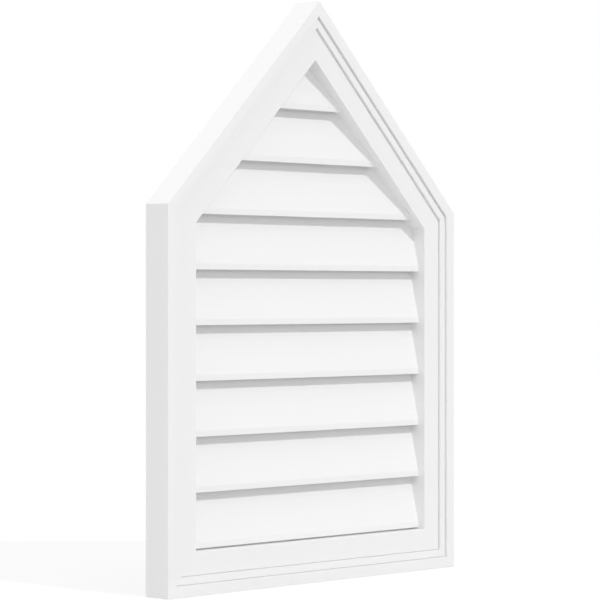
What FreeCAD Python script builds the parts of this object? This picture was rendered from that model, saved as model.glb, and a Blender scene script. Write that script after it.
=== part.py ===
import FreeCAD, Part
import math
import os
import Sketcher

# Peaked gable vent for a wall: a mitred five-board frame, nine steep louvre blades let into
# it, and insect mesh stapled into a rabbet behind the blades.
# The origin is the middle of the bottom edge on the wall plane. X runs to the right seen
# from the front, the front faces -Y, and Z is up.

BLADES = 9
GAP_COUNTS = (14, 14, 14, 14, 14, 11, 6, 2)
STAPLE_COUNTS = {"bottom_rail": 5, "right_stile": 5, "right_rake": 4, "left_rake": 4, "left_stile": 5}

SIZES = (
    ("width", 508.0),
    ("height", 711.2),
    ("rake_angle", 45.0),
    ("depth", 38.1),
    # stepped face of the frame boards, from the outer edge inwards, with a quirk at the foot of each step
    ("face_width", 50.8),
    ("outer_band", 13.2),
    ("middle_band", 9.6),
    ("band_step", 3.1),
    ("quirk_width", 1.1),
    ("quirk_depth", 1.4),
    # rabbet round the back of the opening
    ("rabbet_depth", 4.0),
    ("rabbet_width", 12.7),
    # housings that take the ends of the blades
    ("housing_depth", 5.0),
    ("housing_end_gap", 0.5),
    # louvre blades, with the thickness measured level; each one laps behind the nose above it
    ("sill_gap", 2.2),
    ("crown_trim", 4.9),
    ("nose_height", 7.2),
    ("blade_lap", 6.0),
    ("blade_run", 14.8),
    ("blade_land", 2.3),
    ("blade_thickness", 6.5),
    # insect mesh, with gaps that stand for its open weave
    ("screen_thickness", 0.6),
    ("screen_edge_gap", 0.5),
    ("mesh_bar", 4.0),
    ("mesh_rim", 1.0),
    ("mesh_side", 5.0),
    ("mesh_row", 24.0),
    # staples that hold the mesh in the rabbet
    ("staple_edge", 6.3),
    ("staple_end", 25.0),
    ("staple_crown", 10.6),
    ("staple_leg", 8.0),
    ("staple_wire", 1.2),
    ("staple_width", 0.9),
)

doc = FreeCAD.newDocument("GableVent")
sheet = doc.addObject("Spreadsheet::Sheet", "Sizes")
for row, (alias, value) in enumerate(SIZES, start=1):
    sheet.set("A%d" % row, alias)
    sheet.set("B%d" % row, str(value))
    sheet.setAlias("B%d" % row, alias)
doc.recompute()

# Lengths that follow from the sheet
ANGLE = "(Sizes.rake_angle * 1 deg)"
EAVE = "(Sizes.height - Sizes.width / 2 * tan(%s))" % ANGLE
RAKE_LENGTH = "(Sizes.width / 2 / cos(%s))" % ANGLE
EAVE_MITRE = "(1 / tan((90 deg + %s) / 2))" % ANGLE
APEX_MITRE = "tan(%s)" % ANGLE
CROWN = "(Sizes.height - Sizes.face_width / cos(%s))" % ANGLE
PITCH = "((%s - Sizes.face_width - Sizes.sill_gap + Sizes.crown_trim) / %d)" % (CROWN, BLADES)
BLADE_TOP = "(%s + Sizes.blade_lap)" % PITCH
BLADE_BACK = "Sizes.rabbet_depth"
NOSE_PLANE = "(%s + Sizes.blade_land + Sizes.blade_run)" % BLADE_BACK
FACE_SLOPE = "(Sizes.blade_run / (%s - Sizes.nose_height))" % BLADE_TOP
BLADE_FOOT = "(Sizes.blade_thickness - %s * Sizes.nose_height)" % FACE_SLOPE
BACK_RUN = "(Sizes.blade_run + Sizes.blade_land - Sizes.blade_thickness)"
BACK_RISE = "(Sizes.nose_height + %s / %s)" % (BACK_RUN, FACE_SLOPE)
RABBET_EDGE = "(Sizes.face_width - Sizes.rabbet_width)"
QUIRK = " + Sizes.quirk_width"
STAPLE_LINE = "(%s + Sizes.staple_edge)" % RABBET_EDGE
SCREEN_BACK = "(Sizes.rabbet_depth - Sizes.screen_thickness)"

# Turns that make a sketch measure from the wall plane towards the front
ALONG_BOARD = FreeCAD.Rotation(FreeCAD.Vector(1, 0, 0), 180)
ACROSS_BLADE = FreeCAD.Rotation(FreeCAD.Vector(0, 1, 0), 180)


def originPlane(body, role):
    for feature in body.Origin.OriginFeatures:
        if feature.Role == role:
            return feature
    raise RuntimeError("no plane " + role)


def newBody(name):
    body = doc.addObject("PartDesign::Body", name)
    body.Label = name
    return body


def newSketch(body, name, role, turn=None):
    sketch = body.newObject("Sketcher::SketchObject", name)
    sketch.AttachmentSupport = [(originPlane(body, role), "")]
    sketch.MapMode = "FlatFace"
    if turn is not None:
        sketch.AttachmentOffset = FreeCAD.Placement(FreeCAD.Vector(), turn)
    return sketch


def pinCorner(sketch, line, kind, size):
    """Holds one corner at a distance from the sketch's origin, or on its axis at 0."""
    axis = -2 if kind == "DistanceX" else -1
    if size == "0":
        sketch.addConstraint(Sketcher.Constraint("PointOnObject", line, 1, axis))
        return
    index = sketch.addConstraint(Sketcher.Constraint(kind, -1, 1, line, 1, 1.0))
    sketch.setExpression("Constraints[%d]" % index, size)


def drawOutline(sketch, corners):
    """Draws a closed outline whose corners take their places from the sheet."""
    count = len(corners)
    first = sketch.GeometryCount
    ring = []
    for k in range(count):
        turn = 2 * math.pi * k / count
        ring.append(FreeCAD.Vector(2 + math.cos(turn), 2 + math.sin(turn), 0))
    for k in range(count):
        sketch.addGeometry(Part.LineSegment(ring[k], ring[(k + 1) % count]))
    for k in range(count):
        following = first + (k + 1) % count
        sketch.addConstraint(Sketcher.Constraint("Coincident", first + k, 2, following, 1))
    for k, (x, y) in enumerate(corners):
        pinCorner(sketch, first + k, "DistanceX", x)
        pinCorner(sketch, first + k, "DistanceY", y)


def addPad(body, sketch, length, midplane=False):
    pad = body.newObject("PartDesign::Pad", body.Name + "_pad")
    pad.Profile = sketch
    pad.Midplane = midplane
    pad.setExpression("Length", length)
    return pad


def addPocket(body, sketch, length, inward):
    pocket = body.newObject("PartDesign::Pocket", body.Name + "_pocket")
    pocket.Profile = sketch
    pocket.Reversed = inward
    pocket.setExpression("Length", length)
    return pocket


# The frame's five boards, each drawn along its own outer edge and turned into place
MEMBERS = (
    # name, start x, start z, turn axis, turn, length, start mitre, end mitre
    ("bottom_rail", "-Sizes.width / 2", "0 mm", -1, "0 deg", "Sizes.width", "1", "1"),
    ("right_stile", "Sizes.width / 2", "0 mm", -1, "90 deg", EAVE, "1", EAVE_MITRE),
    ("right_rake", "Sizes.width / 2", EAVE, -1, "180 deg - " + ANGLE, RAKE_LENGTH, EAVE_MITRE, APEX_MITRE),
    ("left_rake", "0 mm", "Sizes.height", 1, "180 deg - " + ANGLE, RAKE_LENGTH, APEX_MITRE, EAVE_MITRE),
    ("left_stile", "-Sizes.width / 2", EAVE, 1, "90 deg", EAVE, EAVE_MITRE, "1"),
)


def placeMember(body, member):
    startX, startZ, axis, turn = member[1:5]
    body.Placement = FreeCAD.Placement(FreeCAD.Vector(), FreeCAD.Rotation(FreeCAD.Vector(0, axis, 0), 0))
    body.setExpression("Placement.Base.x", startX)
    body.setExpression("Placement.Base.z", startZ)
    body.setExpression("Placement.Rotation.Angle", turn)


def frameBoard(member):
    length, start, end = member[5:]
    body = newBody(member[0] + "_board")
    board = newSketch(body, body.Name + "_outline", "XZ_Plane")
    drawOutline(board, [
        ("0", "0"),
        (length, "0"),
        ("%s - Sizes.face_width * %s" % (length, end), "Sizes.face_width"),
        ("Sizes.face_width * %s" % start, "Sizes.face_width"),
    ])
    addPad(body, board, "Sizes.depth")
    over = "2 * Sizes.face_width"
    first = "Sizes.outer_band"
    second = "(Sizes.outer_band + Sizes.middle_band)"
    cuts = (
        # name, from, to, starting plane, depth, towards the front
        ("outer_step", first, over, "Sizes.depth", "Sizes.band_step", False),
        ("outer_quirk", first, first + QUIRK, "Sizes.depth", "Sizes.band_step + Sizes.quirk_depth", False),
        ("inner_step", second, over, "Sizes.depth", "2 * Sizes.band_step", False),
        ("inner_quirk", second, second + QUIRK, "Sizes.depth", "2 * Sizes.band_step + Sizes.quirk_depth", False),
        ("rabbet", RABBET_EDGE, over, "0 mm", "Sizes.rabbet_depth", True),
    )
    for name, low, high, plane, deep, inward in cuts:
        sketch = newSketch(body, body.Name + "_" + name, "XZ_Plane")
        sketch.setExpression("AttachmentOffset.Base.z", plane)
        drawOutline(sketch, [("0", low), (length, low), (length, high), ("0", high)])
        addPocket(body, sketch, deep, inward)
    placeMember(body, member)
    return body


def stapleRow(member):
    """Wire staples along one board, crowns on the mesh and legs to the front."""
    length, start, end = member[5:]
    body = newBody(member[0] + "_staples")
    sketch = newSketch(body, body.Name + "_shape", "XY_Plane", ALONG_BOARD)
    sketch.setExpression("AttachmentOffset.Base.x", "%s * %s + Sizes.staple_end" % (STAPLE_LINE, start))
    sketch.setExpression("AttachmentOffset.Base.z", STAPLE_LINE)
    crown = "%s - Sizes.staple_wire" % SCREEN_BACK
    tip = "%s + Sizes.staple_leg" % SCREEN_BACK
    inner = "Sizes.staple_crown - Sizes.staple_wire"
    drawOutline(sketch, [
        ("0", crown),
        ("Sizes.staple_crown", crown),
        ("Sizes.staple_crown", tip),
        (inner, tip),
        (inner, SCREEN_BACK),
        ("Sizes.staple_wire", SCREEN_BACK),
        ("Sizes.staple_wire", tip),
        ("0", tip),
    ])
    staple = addPad(body, sketch, "Sizes.staple_width", midplane=True)
    reach = "%s - %s * (%s + %s)" % (length, STAPLE_LINE, start, end)
    row = body.newObject("PartDesign::LinearPattern", body.Name + "_row")
    row.Originals = [staple]
    row.Direction = (sketch, ["H_Axis"])
    row.setExpression("Length", "%s - 2 * Sizes.staple_end - Sizes.staple_crown" % reach)
    row.Occurrences = STAPLE_COUNTS[member[0]]
    body.Tip = row
    placeMember(body, member)
    return body


def pentagon(sketch, inset):
    """The frame's outline moved inwards all round by one distance."""
    shoulder = "%s - %s * %s" % (EAVE, inset, EAVE_MITRE)
    drawOutline(sketch, [
        (inset, inset),
        ("Sizes.width - %s" % inset, inset),
        ("Sizes.width - %s" % inset, shoulder),
        ("Sizes.width / 2", "Sizes.height - %s / cos(%s)" % (inset, ANGLE)),
        (inset, shoulder),
    ])


def openingPrism(name, inset):
    body = newBody(name)
    sketch = newSketch(body, name + "_outline", "XZ_Plane")
    pentagon(sketch, inset)
    addPad(body, sketch, "Sizes.depth")
    body.setExpression("Placement.Base.x", "-Sizes.width / 2")
    return body


def bladeLevel(number):
    return "(Sizes.face_width + Sizes.sill_gap + %d * %s)" % (number - 1, PITCH)


def bladeBlank(number):
    """One louvre blade at the full width of the frame, before its ends are cut."""
    body = newBody("blade_%d_blank" % number)
    sketch = newSketch(body, body.Name + "_section", "YZ_Plane", ACROSS_BLADE)
    drawOutline(sketch, [
        (NOSE_PLANE, "0"),
        (NOSE_PLANE, "Sizes.nose_height"),
        ("%s + Sizes.blade_land" % BLADE_BACK, BLADE_TOP),
        (BLADE_BACK, BLADE_TOP),
        (BLADE_BACK, BACK_RISE),
        ("%s - %s" % (NOSE_PLANE, BLADE_FOOT), "0"),
    ])
    addPad(body, sketch, "Sizes.width", midplane=True)
    body.setExpression("Placement.Base.z", bladeLevel(number))
    return body


def screenSheet():
    body = newBody("insect_screen_sheet")
    sketch = newSketch(body, "screen_outline", "XZ_Plane")
    sketch.setExpression("AttachmentOffset.Base.z", SCREEN_BACK)
    pentagon(sketch, "(%s + Sizes.screen_edge_gap)" % RABBET_EDGE)
    addPad(body, sketch, "Sizes.screen_thickness")
    body.setExpression("Placement.Base.x", "-Sizes.width / 2")
    return body


def meshRow(number, count):
    """Gaps in the insect mesh over the top of one blade, where the air comes through."""
    body = newBody("mesh_row_%d" % number)
    low = "(%s + %s + Sizes.mesh_rim)" % (bladeLevel(number), BLADE_TOP)
    high = "(%s + Sizes.mesh_row)" % low
    straight = "Sizes.width / 2 - Sizes.face_width"
    raking = "(%s - %s) / tan(%s)" % (CROWN, high, ANGLE)
    half = "(min(%s; %s) - Sizes.mesh_side)" % (straight, raking)
    gap = "((2 * %s - %d * Sizes.mesh_bar) / %d)" % (half, count - 1, count)
    left = "(Sizes.width / 2 - %s)" % half
    right = "%s + %s" % (left, gap)
    sketch = newSketch(body, body.Name + "_gap", "XZ_Plane")
    drawOutline(sketch, [(left, low), (right, low), (right, high), (left, high)])
    pad = addPad(body, sketch, "Sizes.depth")
    row = body.newObject("PartDesign::LinearPattern", body.Name + "_gaps")
    row.Originals = [pad]
    row.Direction = (sketch, ["H_Axis"])
    row.setExpression("Length", "%d * (%s + Sizes.mesh_bar)" % (count - 1, gap))
    row.Occurrences = count
    body.Tip = row
    body.setExpression("Placement.Base.x", "-Sizes.width / 2")
    return body


def combine(kind, name, base, tool):
    result = doc.addObject(kind, name)
    result.Base = base
    result.Tool = tool
    result.Label = name
    return result


def group(name, pieces):
    result = doc.addObject("Part::Compound", name)
    result.Links = pieces
    result.Label = name
    return result


nodes = []
blanks = [bladeBlank(number) for number in range(1, BLADES + 1)]
bladeSpace = openingPrism("blade_space", "(Sizes.face_width - Sizes.housing_depth + Sizes.housing_end_gap)")
housingSpace = openingPrism("housing_space", "(Sizes.face_width - Sizes.housing_depth)")
for number, blank in enumerate(blanks, start=1):
    nodes.append(combine("Part::Common", "blade_%d" % number, blank, bladeSpace))

housings = combine("Part::Common", "housings", group("blade_blanks", blanks), housingSpace)
staples = group("screen_staples", [stapleRow(member) for member in MEMBERS])
frameCuts = group("frame_cuts", [housings, staples])
for member in MEMBERS:
    nodes.append(combine("Part::Cut", member[0], frameBoard(member), frameCuts))
meshRows = [meshRow(number, count) for number, count in enumerate(GAP_COUNTS, start=1)]
screenCuts = group("screen_cuts", meshRows + [staples])
nodes.append(combine("Part::Cut", "insect_screen", screenSheet(), screenCuts))
nodes.append(staples)

doc.recompute()
for item in doc.Objects:
    if "Invalid" in item.State or "Error" in item.State:
        raise RuntimeError("failed: " + item.Label)
for node in nodes:
    if node.Shape.isNull() or not node.Shape.isValid() or not node.Shape.Solids:
        raise RuntimeError("bad shape: " + node.Label)

os.makedirs("parts", exist_ok=True)
for node in nodes:
    node.Shape.exportStep("parts/%s.step" % node.Label)
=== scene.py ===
import math
import bmesh
import bpy
from mathutils import Matrix, Vector


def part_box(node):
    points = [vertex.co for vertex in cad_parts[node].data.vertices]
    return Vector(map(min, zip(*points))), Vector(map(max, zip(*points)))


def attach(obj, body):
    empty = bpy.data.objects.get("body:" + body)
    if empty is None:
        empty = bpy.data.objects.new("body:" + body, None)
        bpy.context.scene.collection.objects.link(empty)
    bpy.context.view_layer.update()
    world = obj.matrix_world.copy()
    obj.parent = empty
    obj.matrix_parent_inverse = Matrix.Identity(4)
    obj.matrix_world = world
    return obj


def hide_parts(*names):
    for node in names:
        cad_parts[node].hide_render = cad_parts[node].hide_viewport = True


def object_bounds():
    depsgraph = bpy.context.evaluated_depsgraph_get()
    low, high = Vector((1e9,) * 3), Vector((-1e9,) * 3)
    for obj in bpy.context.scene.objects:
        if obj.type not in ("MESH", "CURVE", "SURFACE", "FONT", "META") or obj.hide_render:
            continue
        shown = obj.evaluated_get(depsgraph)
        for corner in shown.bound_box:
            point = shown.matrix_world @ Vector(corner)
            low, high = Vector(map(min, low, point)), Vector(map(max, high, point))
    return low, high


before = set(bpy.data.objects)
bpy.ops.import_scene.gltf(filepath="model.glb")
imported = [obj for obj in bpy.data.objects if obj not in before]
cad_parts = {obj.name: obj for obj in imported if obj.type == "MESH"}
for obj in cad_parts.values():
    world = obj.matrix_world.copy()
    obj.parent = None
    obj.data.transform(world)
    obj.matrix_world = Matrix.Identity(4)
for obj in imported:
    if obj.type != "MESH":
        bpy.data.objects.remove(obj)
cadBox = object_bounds()
mm = 0.001
boards = ["bottom_rail", "left_stile", "right_stile", "left_rake", "right_rake"]
blades = ["blade_%d" % number for number in range(1, 10)]


def hexColour(text):  # sRGB hex to the linear colour that a socket takes
    parts = [int(text[k:k + 2], 16) / 255 for k in (1, 3, 5)]
    linear = [c / 12.92 if c <= 0.04045 else ((c + 0.055) / 1.055) ** 2.4 for c in parts]
    return (linear[0], linear[1], linear[2], 1.0)


def addNode(tree, kind, inputs=None, **settings):  # a node, what it is set to and what feeds it
    node = tree.nodes.new(kind)
    for name, value in settings.items():
        setattr(node, name, value)
    for name, value in (inputs or {}).items():
        if isinstance(value, bpy.types.NodeSocket):
            tree.links.new(value, node.inputs[name])
        else:
            node.inputs[name].default_value = value
    return node


def newMaterial(name):
    material = bpy.data.materials.new(name)
    material.use_nodes = True
    tree = material.node_tree
    tree.nodes.clear()
    return material, tree


# Cellular PVC board, extruded with a closed satin skin: a clean neutral white, faint long die
# streaks, and a very slight orange peel that softens the gloss.
pvcSkin = {
    "lightStreak": "#f1f1f1",
    "darkStreak": "#eeeeee",
    "streakWidth": 2.5 * mm,
    "streakStretch": 70,
    "streakDetail": 3.0,
    "peelSize": 1.3 * mm,
    "peelDepth": 0.02 * mm,
    "peelDetail": 2.0,
    "peelStrength": 0.25,
    "roughness": (0.40, 0.50),
    "ior": 1.53,
}


def cellularPvcSkin(name, grainTurn):
    material, tree = newMaterial(name)
    place = addNode(tree, "ShaderNodeTexCoord")
    turned = addNode(tree, "ShaderNodeMapping", {"Vector": place.outputs["Object"],
                                                 "Rotation": (0, math.radians(grainTurn), 0)})
    along = addNode(tree, "ShaderNodeVectorMath", {0: turned.outputs["Vector"],
                                                   1: (1 / pvcSkin["streakStretch"], 1, 1)},
                    operation="MULTIPLY")
    streak = addNode(tree, "ShaderNodeTexNoise", {"Vector": along.outputs["Vector"],
                                                  "Scale": 1 / pvcSkin["streakWidth"],
                                                  "Detail": pvcSkin["streakDetail"]})
    peel = addNode(tree, "ShaderNodeTexNoise", {"Vector": place.outputs["Object"],
                                                "Scale": 1 / pvcSkin["peelSize"],
                                                "Detail": pvcSkin["peelDetail"]})
    tint = addNode(tree, "ShaderNodeMix", {"Factor": streak.outputs["Fac"],
                                           "A": hexColour(pvcSkin["darkStreak"]),
                                           "B": hexColour(pvcSkin["lightStreak"])}, data_type="RGBA")
    low, high = pvcSkin["roughness"]
    satin = addNode(tree, "ShaderNodeMapRange", {"Value": streak.outputs["Fac"],
                                                 "To Min": low, "To Max": high})
    bump = addNode(tree, "ShaderNodeBump", {"Height": peel.outputs["Fac"],
                                            "Strength": pvcSkin["peelStrength"],
                                            "Distance": pvcSkin["peelDepth"]})
    shader = addNode(tree, "ShaderNodeBsdfPrincipled", {"Base Color": tint.outputs[2],
                                                        "Roughness": satin.outputs["Result"],
                                                        "IOR": pvcSkin["ior"],
                                                        "Normal": bump.outputs["Normal"]})
    addNode(tree, "ShaderNodeOutputMaterial", {"Surface": shader.outputs["BSDF"]})
    return material


# The same board where a cutter has opened its foam core: duller, with fine cells and the even
# ripple of the cutter head across the grain.
pvcMilled = {
    "face": "#f2f2f2",
    "cell": "#ededed",
    "cellSize": 0.9 * mm,  # real cells are near 0.3 mm, drawn coarser so that they show
    "cellDepth": 0.03 * mm,
    "ripple": 1.8 * mm,
    "rippleBend": 0.4,
    "rippleShare": 0.3,  # height of the ripple against that of the cells
    "reliefStrength": 0.2,
    "roughness": 0.58,
    "ior": 1.53,
}
waveLength = 0.314  # a wave texture of scale 1 repeats at this length


def cellularPvcMilled(name, grainTurn):
    material, tree = newMaterial(name)
    place = addNode(tree, "ShaderNodeTexCoord")
    turned = addNode(tree, "ShaderNodeMapping", {"Vector": place.outputs["Object"],
                                                 "Rotation": (0, math.radians(grainTurn), 0)})
    cells = addNode(tree, "ShaderNodeTexVoronoi", {"Vector": place.outputs["Object"],
                                                   "Scale": 1 / pvcMilled["cellSize"]})
    ripple = addNode(tree, "ShaderNodeTexWave", {"Vector": turned.outputs["Vector"],
                                                 "Scale": waveLength / pvcMilled["ripple"],
                                                 "Distortion": pvcMilled["rippleBend"]},
                     bands_direction="X")
    tint = addNode(tree, "ShaderNodeMix", {"Factor": cells.outputs["Distance"],
                                           "A": hexColour(pvcMilled["cell"]),
                                           "B": hexColour(pvcMilled["face"])}, data_type="RGBA")
    relief = addNode(tree, "ShaderNodeMath", {0: ripple.outputs["Fac"], 1: pvcMilled["rippleShare"],
                                              2: cells.outputs["Distance"]}, operation="MULTIPLY_ADD")
    bump = addNode(tree, "ShaderNodeBump", {"Height": relief.outputs["Value"],
                                            "Strength": pvcMilled["reliefStrength"],
                                            "Distance": pvcMilled["cellDepth"]})
    shader = addNode(tree, "ShaderNodeBsdfPrincipled", {"Base Color": tint.outputs[2],
                                                        "Roughness": pvcMilled["roughness"],
                                                        "IOR": pvcMilled["ior"],
                                                        "Normal": bump.outputs["Normal"]})
    addNode(tree, "ShaderNodeOutputMaterial", {"Surface": shader.outputs["BSDF"]})
    return material


# Aluminium insect wire with a charcoal paint coat: dark, dull, a little uneven from wire to wire.
meshPaint = {
    "dark": "#2c2d2f",
    "worn": "#3c3e40",
    "patch": 6 * mm,
    "patchDetail": 4.0,
    "roughness": 0.55,
}


def charcoalWire():
    material, tree = newMaterial("charcoal_coated_aluminium_wire")
    place = addNode(tree, "ShaderNodeTexCoord")
    patch = addNode(tree, "ShaderNodeTexNoise", {"Vector": place.outputs["Object"],
                                                 "Scale": 1 / meshPaint["patch"],
                                                 "Detail": meshPaint["patchDetail"]})
    tint = addNode(tree, "ShaderNodeMix", {"Factor": patch.outputs["Fac"],
                                           "A": hexColour(meshPaint["dark"]),
                                           "B": hexColour(meshPaint["worn"])}, data_type="RGBA")
    shader = addNode(tree, "ShaderNodeBsdfPrincipled", {"Base Color": tint.outputs[2],
                                                        "Roughness": meshPaint["roughness"]})
    addNode(tree, "ShaderNodeOutputMaterial", {"Surface": shader.outputs["BSDF"]})
    return material


# Galvanised steel wire, drawn and flattened into staples: grey metal with a fine spangle.
stapleWire = {
    "bright": "#c9cacb",
    "dull": "#9fa1a3",
    "spangle": 0.8 * mm,
    "spangleDetail": 2.0,
    "roughness": (0.28, 0.48),
}


def galvanisedSteel():
    material, tree = newMaterial("galvanised_steel_wire")
    place = addNode(tree, "ShaderNodeTexCoord")
    spangle = addNode(tree, "ShaderNodeTexNoise", {"Vector": place.outputs["Object"],
                                                   "Scale": 1 / stapleWire["spangle"],
                                                   "Detail": stapleWire["spangleDetail"]})
    tint = addNode(tree, "ShaderNodeMix", {"Factor": spangle.outputs["Fac"],
                                           "A": hexColour(stapleWire["dull"]),
                                           "B": hexColour(stapleWire["bright"])}, data_type="RGBA")
    low, high = stapleWire["roughness"]
    rough = addNode(tree, "ShaderNodeMapRange", {"Value": spangle.outputs["Fac"],
                                                 "To Min": low, "To Max": high})
    shader = addNode(tree, "ShaderNodeBsdfPrincipled", {"Base Color": tint.outputs[2], "Metallic": 1.0,
                                                        "Roughness": rough.outputs["Result"]})
    addNode(tree, "ShaderNodeOutputMaterial", {"Surface": shader.outputs["BSDF"]})
    return material


def finishPiece(bm, name, materials, node):  # the bmesh becomes a piece that stands for a node
    mesh = bpy.data.meshes.new(name)
    bm.to_mesh(mesh)
    bm.free()
    for material in materials:
        mesh.materials.append(material)
    piece = bpy.data.objects.new(name, mesh)
    bpy.context.collection.objects.link(piece)
    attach(piece, "root")
    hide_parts(node)
    return piece


weldReach = 0.001 * mm
flatAngle = math.radians(0.5)


def solidCopy(node):  # a node's solid as clean flat faces
    bm = bmesh.new()
    bm.from_mesh(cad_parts[node].data)
    bmesh.ops.remove_doubles(bm, verts=bm.verts, dist=weldReach)
    bmesh.ops.dissolve_limit(bm, angle_limit=flatAngle, verts=bm.verts, edges=bm.edges)
    return bm


def easeEdges(bm, edges, width, segments):
    bmesh.ops.bevel(bm, geom=edges, offset=width, offset_type="OFFSET", affect="EDGES", segments=segments,
                    profile=0.5, material=-1, clamp_overlap=True)


def runsAlong(edge, grain):
    run = (edge.verts[1].co - edge.verts[0].co).normalized()
    return abs(run.dot(grain)) > 0.999


# Frame boards: the arrises along each board are eased, on its stepped face and on its back.
boardFinish = {
    "arris": 0.3 * mm,
    "segments": 2,
    "steppedDepth": 7 * mm,  # edges within this of the front are on the stepped face
    "backDepth": 0.1 * mm,  # edges within this of the wall plane are on the back
    "skinDepth": 0.2 * mm,  # faces within this of the front or back plane keep the extruded skin
    "middleHeight": 0.3,  # a point in the opening, so that a face that points away from it is an outer one
    "grainTurn": {"bottom_rail": 0, "left_stile": 90, "right_stile": 90, "left_rake": 45, "right_rake": 135},
}


def makeBoard(node):
    grainTurn = boardFinish["grainTurn"][node]
    turn = math.radians(grainTurn)
    grain = Vector((math.cos(turn), 0, math.sin(turn)))
    front = cadBox[0][1]
    bm = solidCopy(node)
    arrises = []
    for edge in bm.edges:
        depth = edge.verts[0].co.y
        onFace = depth < front + boardFinish["steppedDepth"]
        onBack = depth > -boardFinish["backDepth"]
        if edge.is_convex and runsAlong(edge, grain) and (onFace or onBack):
            arrises.append(edge)
    easeEdges(bm, arrises, boardFinish["arris"], boardFinish["segments"])
    for face in bm.faces:
        middle = face.calc_center_median()
        away = Vector((middle.x, 0, middle.z - boardFinish["middleHeight"]))
        outer = abs(face.normal.y) < 0.5 and face.normal.dot(away) > 0
        flat = middle.y < front + boardFinish["skinDepth"] or middle.y > -boardFinish["skinDepth"]
        face.material_index = 0 if flat or outer else 1
    return finishPiece(bm, node + "_board", pvcByTurn[grainTurn], node)


# Louvre blades: planed boards whose long arrises are just eased.
bladeFinish = {
    "arris": 0.25 * mm,
    "segments": 2,
}


def makeBlade(node):
    bm = solidCopy(node)
    grain = Vector((1, 0, 0))
    arrises = [edge for edge in bm.edges if edge.is_convex and runsAlong(edge, grain)]
    easeEdges(bm, arrises, bladeFinish["arris"], bladeFinish["segments"])
    return finishPiece(bm, node + "_louvre", pvcByTurn[0][:1], node)


# Insect mesh: round wires in two layers, each cut to length at the rabbet's peaked outline.
meshWeave = {
    "pitch": 1.5 * mm,
    "wire": 0.28 * mm,
    "sides": 6,
}


def makeMesh(node):
    low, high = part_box(node)
    pitch = meshWeave["pitch"]
    wire = meshWeave["wire"]
    middleY = (low[1] + high[1]) / 2
    upright = Matrix.Identity(4)
    level = Matrix.Rotation(math.radians(90), 4, "Y")
    bm = bmesh.new()

    def addWire(centre, turn, length):
        bmesh.ops.create_cone(bm, cap_ends=True, segments=meshWeave["sides"], radius1=wire / 2,
                              radius2=wire / 2, depth=length, matrix=Matrix.Translation(centre) @ turn)

    count = int((high[0] - low[0]) / pitch)
    for k in range(count + 1):
        x = (k - count / 2) * pitch
        top = high[2] - abs(x)  # the rakes stand at 45 degrees
        addWire((x, middleY - wire / 2, (low[2] + top) / 2), upright, top - low[2])
    count = int((high[2] - low[2]) / pitch)
    for k in range(count):
        z = low[2] + (k + 0.5) * pitch
        half = min(high[0], high[2] - z)
        addWire((0, middleY + wire / 2, z), level, 2 * half)
    return finishPiece(bm, "insect_mesh", [charcoalWire()], node)


# Staples: flattened wire with all its edges rounded.
stapleFinish = {
    "round": 0.2 * mm,
    "segments": 2,
}


def makeStaples(node):
    bm = solidCopy(node)
    edges = [edge for edge in bm.edges if edge.is_convex]
    easeEdges(bm, edges, stapleFinish["round"], stapleFinish["segments"])
    return finishPiece(bm, "wire_staples", [galvanisedSteel()], node)


pvcByTurn = {}
for grainTurn in (0, 45, 90, 135):
    pvcByTurn[grainTurn] = [cellularPvcSkin("cellular_pvc_skin_%d" % grainTurn, grainTurn),
                            cellularPvcMilled("cellular_pvc_milled_%d" % grainTurn, grainTurn)]
for node in boards:
    makeBoard(node)
print("boards done")
for node in blades:
    makeBlade(node)
print("blades done")
makeMesh("insect_screen")
makeStaples("screen_staples")
print("mesh and staples done")

# Stage: a pale floor, a dome that is bright overhead and fades towards the horizon, one high key
# from the front, a broad fill from the left and a low one from the front.
# A lamp of 1 lights a face square to it as much as a white dome of 1 would.
stage = {
    "floorSize": 40.0,
    "floorDrop": 0.5 * mm,
    "floorColour": "#d9d9d9",
    "floorLift": 0.8,  # share of plain white where the floor is seen, so that its shadow stays faint
    "horizon": 0.0,
    "zenith": 1.21,
    "lamps": {
        "key": {"level": 0.35, "spread": 0.6, "turn": 0, "rise": 43.5},
        "side_fill": {"level": 0.245, "spread": 35, "turn": -90, "rise": 8},
        "front_fill": {"level": 0.11, "spread": 6, "turn": -20, "rise": 12},
    },
}
white = (1, 1, 1, 1)


def seenDirectly(tree):  # 1 for rays that come from the camera, a mirror-like face or a clear one
    rays = addNode(tree, "ShaderNodeLightPath")
    seen = addNode(tree, "ShaderNodeMath", {0: rays.outputs["Is Camera Ray"],
                                            1: rays.outputs["Is Glossy Ray"]}, operation="MAXIMUM")
    seen = addNode(tree, "ShaderNodeMath", {0: seen.outputs["Value"],
                                            1: rays.outputs["Is Transmission Ray"]}, operation="MAXIMUM")
    return seen.outputs["Value"]


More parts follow.
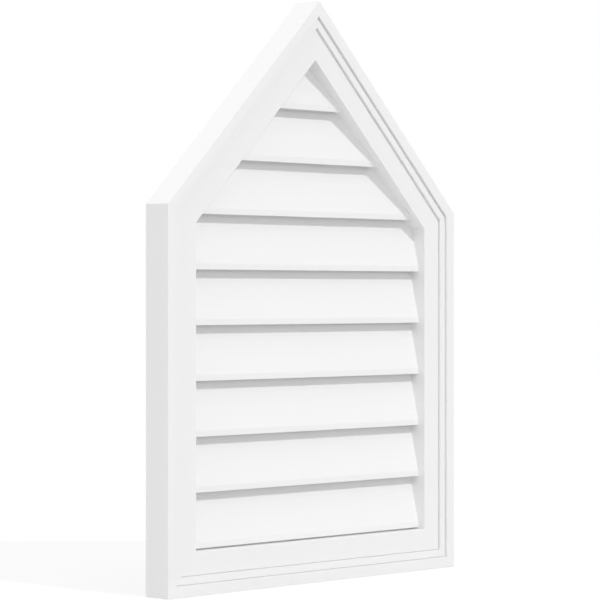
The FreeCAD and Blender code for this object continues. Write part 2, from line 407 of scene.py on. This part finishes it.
def makeFloor():
    bm = bmesh.new()
    bmesh.ops.create_grid(bm, x_segments=1, y_segments=1, size=stage["floorSize"] / 2)
    bmesh.ops.translate(bm, verts=bm.verts, vec=(0, 0, -stage["floorDrop"]))
    mesh = bpy.data.meshes.new("floor")
    bm.to_mesh(mesh)
    bm.free()
    material, tree = newMaterial("studio_floor")
    seen = seenDirectly(tree)
    tint = addNode(tree, "ShaderNodeMix", {"Factor": seen, "A": hexColour(stage["floorColour"]), "B": white},
                   data_type="RGBA")
    shade = addNode(tree, "ShaderNodeBsdfDiffuse", {"Color": tint.outputs[2]})
    glow = addNode(tree, "ShaderNodeEmission", {"Color": white, "Strength": 1.0})
    lift = addNode(tree, "ShaderNodeMath", {0: seen, 1: stage["floorLift"]}, operation="MULTIPLY")
    shader = addNode(tree, "ShaderNodeMixShader", {0: lift.outputs["Value"], 1: shade.outputs["BSDF"],
                                                   2: glow.outputs["Emission"]})
    addNode(tree, "ShaderNodeOutputMaterial", {"Surface": shader.outputs["Shader"]})
    mesh.materials.append(material)
    floor = bpy.data.objects.new("floor", mesh)
    bpy.context.collection.objects.link(floor)


def makeWorld():
    world = bpy.data.worlds.new("studio")
    world.use_nodes = True
    tree = world.node_tree
    tree.nodes.clear()
    place = addNode(tree, "ShaderNodeTexCoord")
    split = addNode(tree, "ShaderNodeSeparateXYZ", {"Vector": place.outputs["Generated"]})
    dome = addNode(tree, "ShaderNodeMapRange", {"Value": split.outputs["Z"], "To Min": stage["horizon"],
                                                "To Max": stage["zenith"]})
    strength = addNode(tree, "ShaderNodeMix", {"Factor": seenDirectly(tree), "A": dome.outputs["Result"],
                                               "B": 1.0})
    light = addNode(tree, "ShaderNodeBackground", {"Color": white, "Strength": strength.outputs[0]})
    addNode(tree, "ShaderNodeOutputWorld", {"Surface": light.outputs["Background"]})
    bpy.context.scene.world = world


def makeLamp(name, settings):
    lamp = bpy.data.lights.new(name, "SUN")
    lamp.energy = settings["level"] * math.pi
    lamp.angle = math.radians(settings["spread"])
    light = bpy.data.objects.new(name, lamp)
    light.rotation_euler = (math.radians(90 - settings["rise"]), 0, math.radians(settings["turn"]))
    bpy.context.collection.objects.link(light)


# Camera: level, a long lens, left of the vent's front, framed as in the photograph.
view = {
    "azimuth": 46.43,
    "distance": 3.2146,
    "height": 0.3521,
    "lens": 156.9,
    "sensor": 36.0,
    "shift": (-0.0133, -0.0094),
    "farthest": 100.0,
}


def makeCamera():
    data = bpy.data.cameras.new("camera")
    data.sensor_width = view["sensor"]
    data.lens = view["lens"]
    data.shift_x, data.shift_y = view["shift"]
    data.clip_end = view["farthest"]
    camera = bpy.data.objects.new("camera", data)
    turn = math.radians(view["azimuth"])
    back = view["distance"]
    middleY = (cadBox[0][1] + cadBox[1][1]) / 2
    camera.location = (-back * math.sin(turn), middleY - back * math.cos(turn), view["height"])
    camera.rotation_euler = (math.radians(90), 0, -turn)
    bpy.context.collection.objects.link(camera)
    bpy.context.scene.camera = camera


makeFloor()
makeWorld()
for lampName, lampSettings in stage["lamps"].items():
    makeLamp(lampName, lampSettings)
makeCamera()
bpy.context.scene.view_settings.view_transform = "Standard"
print("stage done")
